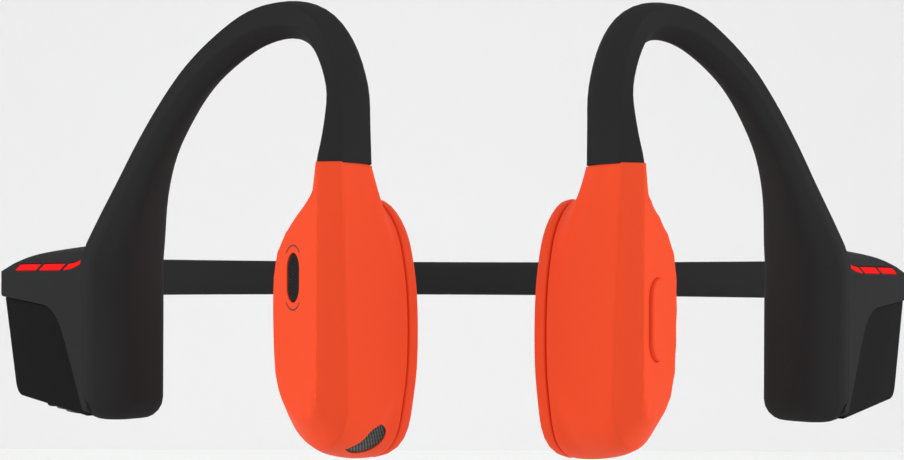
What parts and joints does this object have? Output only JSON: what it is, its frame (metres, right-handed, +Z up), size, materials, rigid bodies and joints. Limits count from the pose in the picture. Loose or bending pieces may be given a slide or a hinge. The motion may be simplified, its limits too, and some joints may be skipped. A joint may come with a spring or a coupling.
{
  "type": "bone conduction headphones",
  "caption": "Open-ear bone conduction headphones: orange transducer pods on black ear hooks, faceted housings behind the ears and a flat spring neckband.",
  "frame": {"origin": "centre of the bounding box in X and Y, at the bottom of the transducer pods", "axes": "+X to the wearer's left (the longest extent), +Y to the back of the head (the neckband is at +Y and the pods at -Y), +Z up (the shortest extent)"},
  "size_m": [0.1278, 0.1078, 0.0534],
  "materials": {
    "orange_silicone": "satin",
    "black_silicone": "matte",
    "black_cover": "satin",
    "black_plastic": "matte",
    "red_light_pipe": "gloss",
    "steel_spring": "satin",
    "steel_mesh": "satin",
    "titanium_wire": "satin",
    "cable_jacket": "matte",
    "magnet": "polished",
    "copper_coil": "satin",
    "gold_contact": "polished",
    "circuit_board": "satin",
    "component": "satin",
    "battery_foil": "satin",
    "foam": "matte",
    "gasket": "matte"
  },
  "bodies": {
    "neckband": {"neckband_sleeve": "black_silicone", "neckband_core": "titanium_wire", "neckband_cable": "cable_jacket"},
    "right_arm": {"right_pod_shell": "orange_silicone", "right_leaf_spring": "steel_spring", "right_transducer_yoke": "component", "right_transducer_magnet": "magnet", "right_pole_plate": "component", "right_arm_overmold": "black_silicone", "right_hook_core": "titanium_wire", "right_hook_cable": "cable_jacket", "right_case": "black_plastic", "right_side_cover": "black_cover", "right_cover_gasket": "gasket", "right_light_pipes": "red_light_pipe", "right_led_board": "circuit_board", "mic_mesh": "steel_mesh", "mic_gasket": "gasket", "mic_capsule": "component", "mic_board": "circuit_board", "port_mesh": "steel_mesh", "charge_contacts": "gold_contact", "charge_port": "black_plastic", "main_board": "circuit_board", "volume_switches": "component", "board_screws": "steel_spring"},
    "left_arm": {"left_pod_shell": "orange_silicone", "left_leaf_spring": "steel_spring", "left_transducer_yoke": "component", "left_transducer_magnet": "magnet", "left_pole_plate": "component", "left_arm_overmold": "black_silicone", "left_hook_core": "titanium_wire", "left_hook_cable": "cable_jacket", "left_case": "black_plastic", "left_side_cover": "black_cover", "left_cover_gasket": "gasket", "left_light_pipes": "red_light_pipe", "left_led_board": "circuit_board", "multifunction_switch": "component", "multifunction_board": "circuit_board", "battery": "battery_foil", "battery_foam": "foam", "battery_board": "circuit_board"},
    "right_transducer": {"right_skin_pad": "orange_silicone", "right_vibration_panel": "black_plastic", "right_voice_coil": "copper_coil"},
    "left_transducer": {"left_skin_pad": "orange_silicone", "left_vibration_panel": "black_plastic", "left_voice_coil": "copper_coil"},
    "volume_plus": {"volume_plus_button": "black_silicone"},
    "volume_minus": {"volume_minus_button": "black_silicone"},
    "multifunction": {"multifunction_button": "orange_silicone"}
  },
  "joints": [
    {"name": "right_arm_flex", "type": "hinge", "parent": "neckband", "child": "right_arm", "pos_m": [-0.022, 0.0482, 0.0213], "axis": [0, 0, -1], "range_deg": [-3, 35], "stiffness_Nm_per_rad": 0.065, "deforming": ["neckband_sleeve", "neckband_core", "neckband_cable"]},
    {"name": "left_arm_flex", "type": "hinge", "parent": "neckband", "child": "left_arm", "pos_m": [0.022, 0.0482, 0.0213], "axis": [0, 0, 1], "range_deg": [-3, 35], "stiffness_Nm_per_rad": 0.065, "deforming": ["neckband_sleeve", "neckband_core", "neckband_cable"]},
    {"name": "right_transducer_vibration", "type": "slide", "parent": "right_arm", "child": "right_transducer", "axis": [0.8192, -0.5736, 0], "range_m": [-0.0001, 0.0001], "stiffness_N_per_m": 6000, "deforming": ["right_leaf_spring"]},
    {"name": "left_transducer_vibration", "type": "slide", "parent": "left_arm", "child": "left_transducer", "axis": [-0.8192, -0.5736, 0], "range_m": [-0.0001, 0.0001], "stiffness_N_per_m": 6000, "deforming": ["left_leaf_spring"]},
    {"name": "volume_plus_press", "type": "slide", "parent": "right_arm", "child": "volume_plus", "axis": [0, 0, 1], "range_m": [0, 0.00035], "stiffness_N_per_m": 400},
    {"name": "volume_minus_press", "type": "slide", "parent": "right_arm", "child": "volume_minus", "axis": [0, 0, 1], "range_m": [0, 0.00035], "stiffness_N_per_m": 400},
    {"name": "multifunction_press", "type": "slide", "parent": "left_arm", "child": "multifunction", "axis": [-0.8192, 0.5736, 0], "range_m": [0, 0.0003], "stiffness_N_per_m": 400}
  ]
}
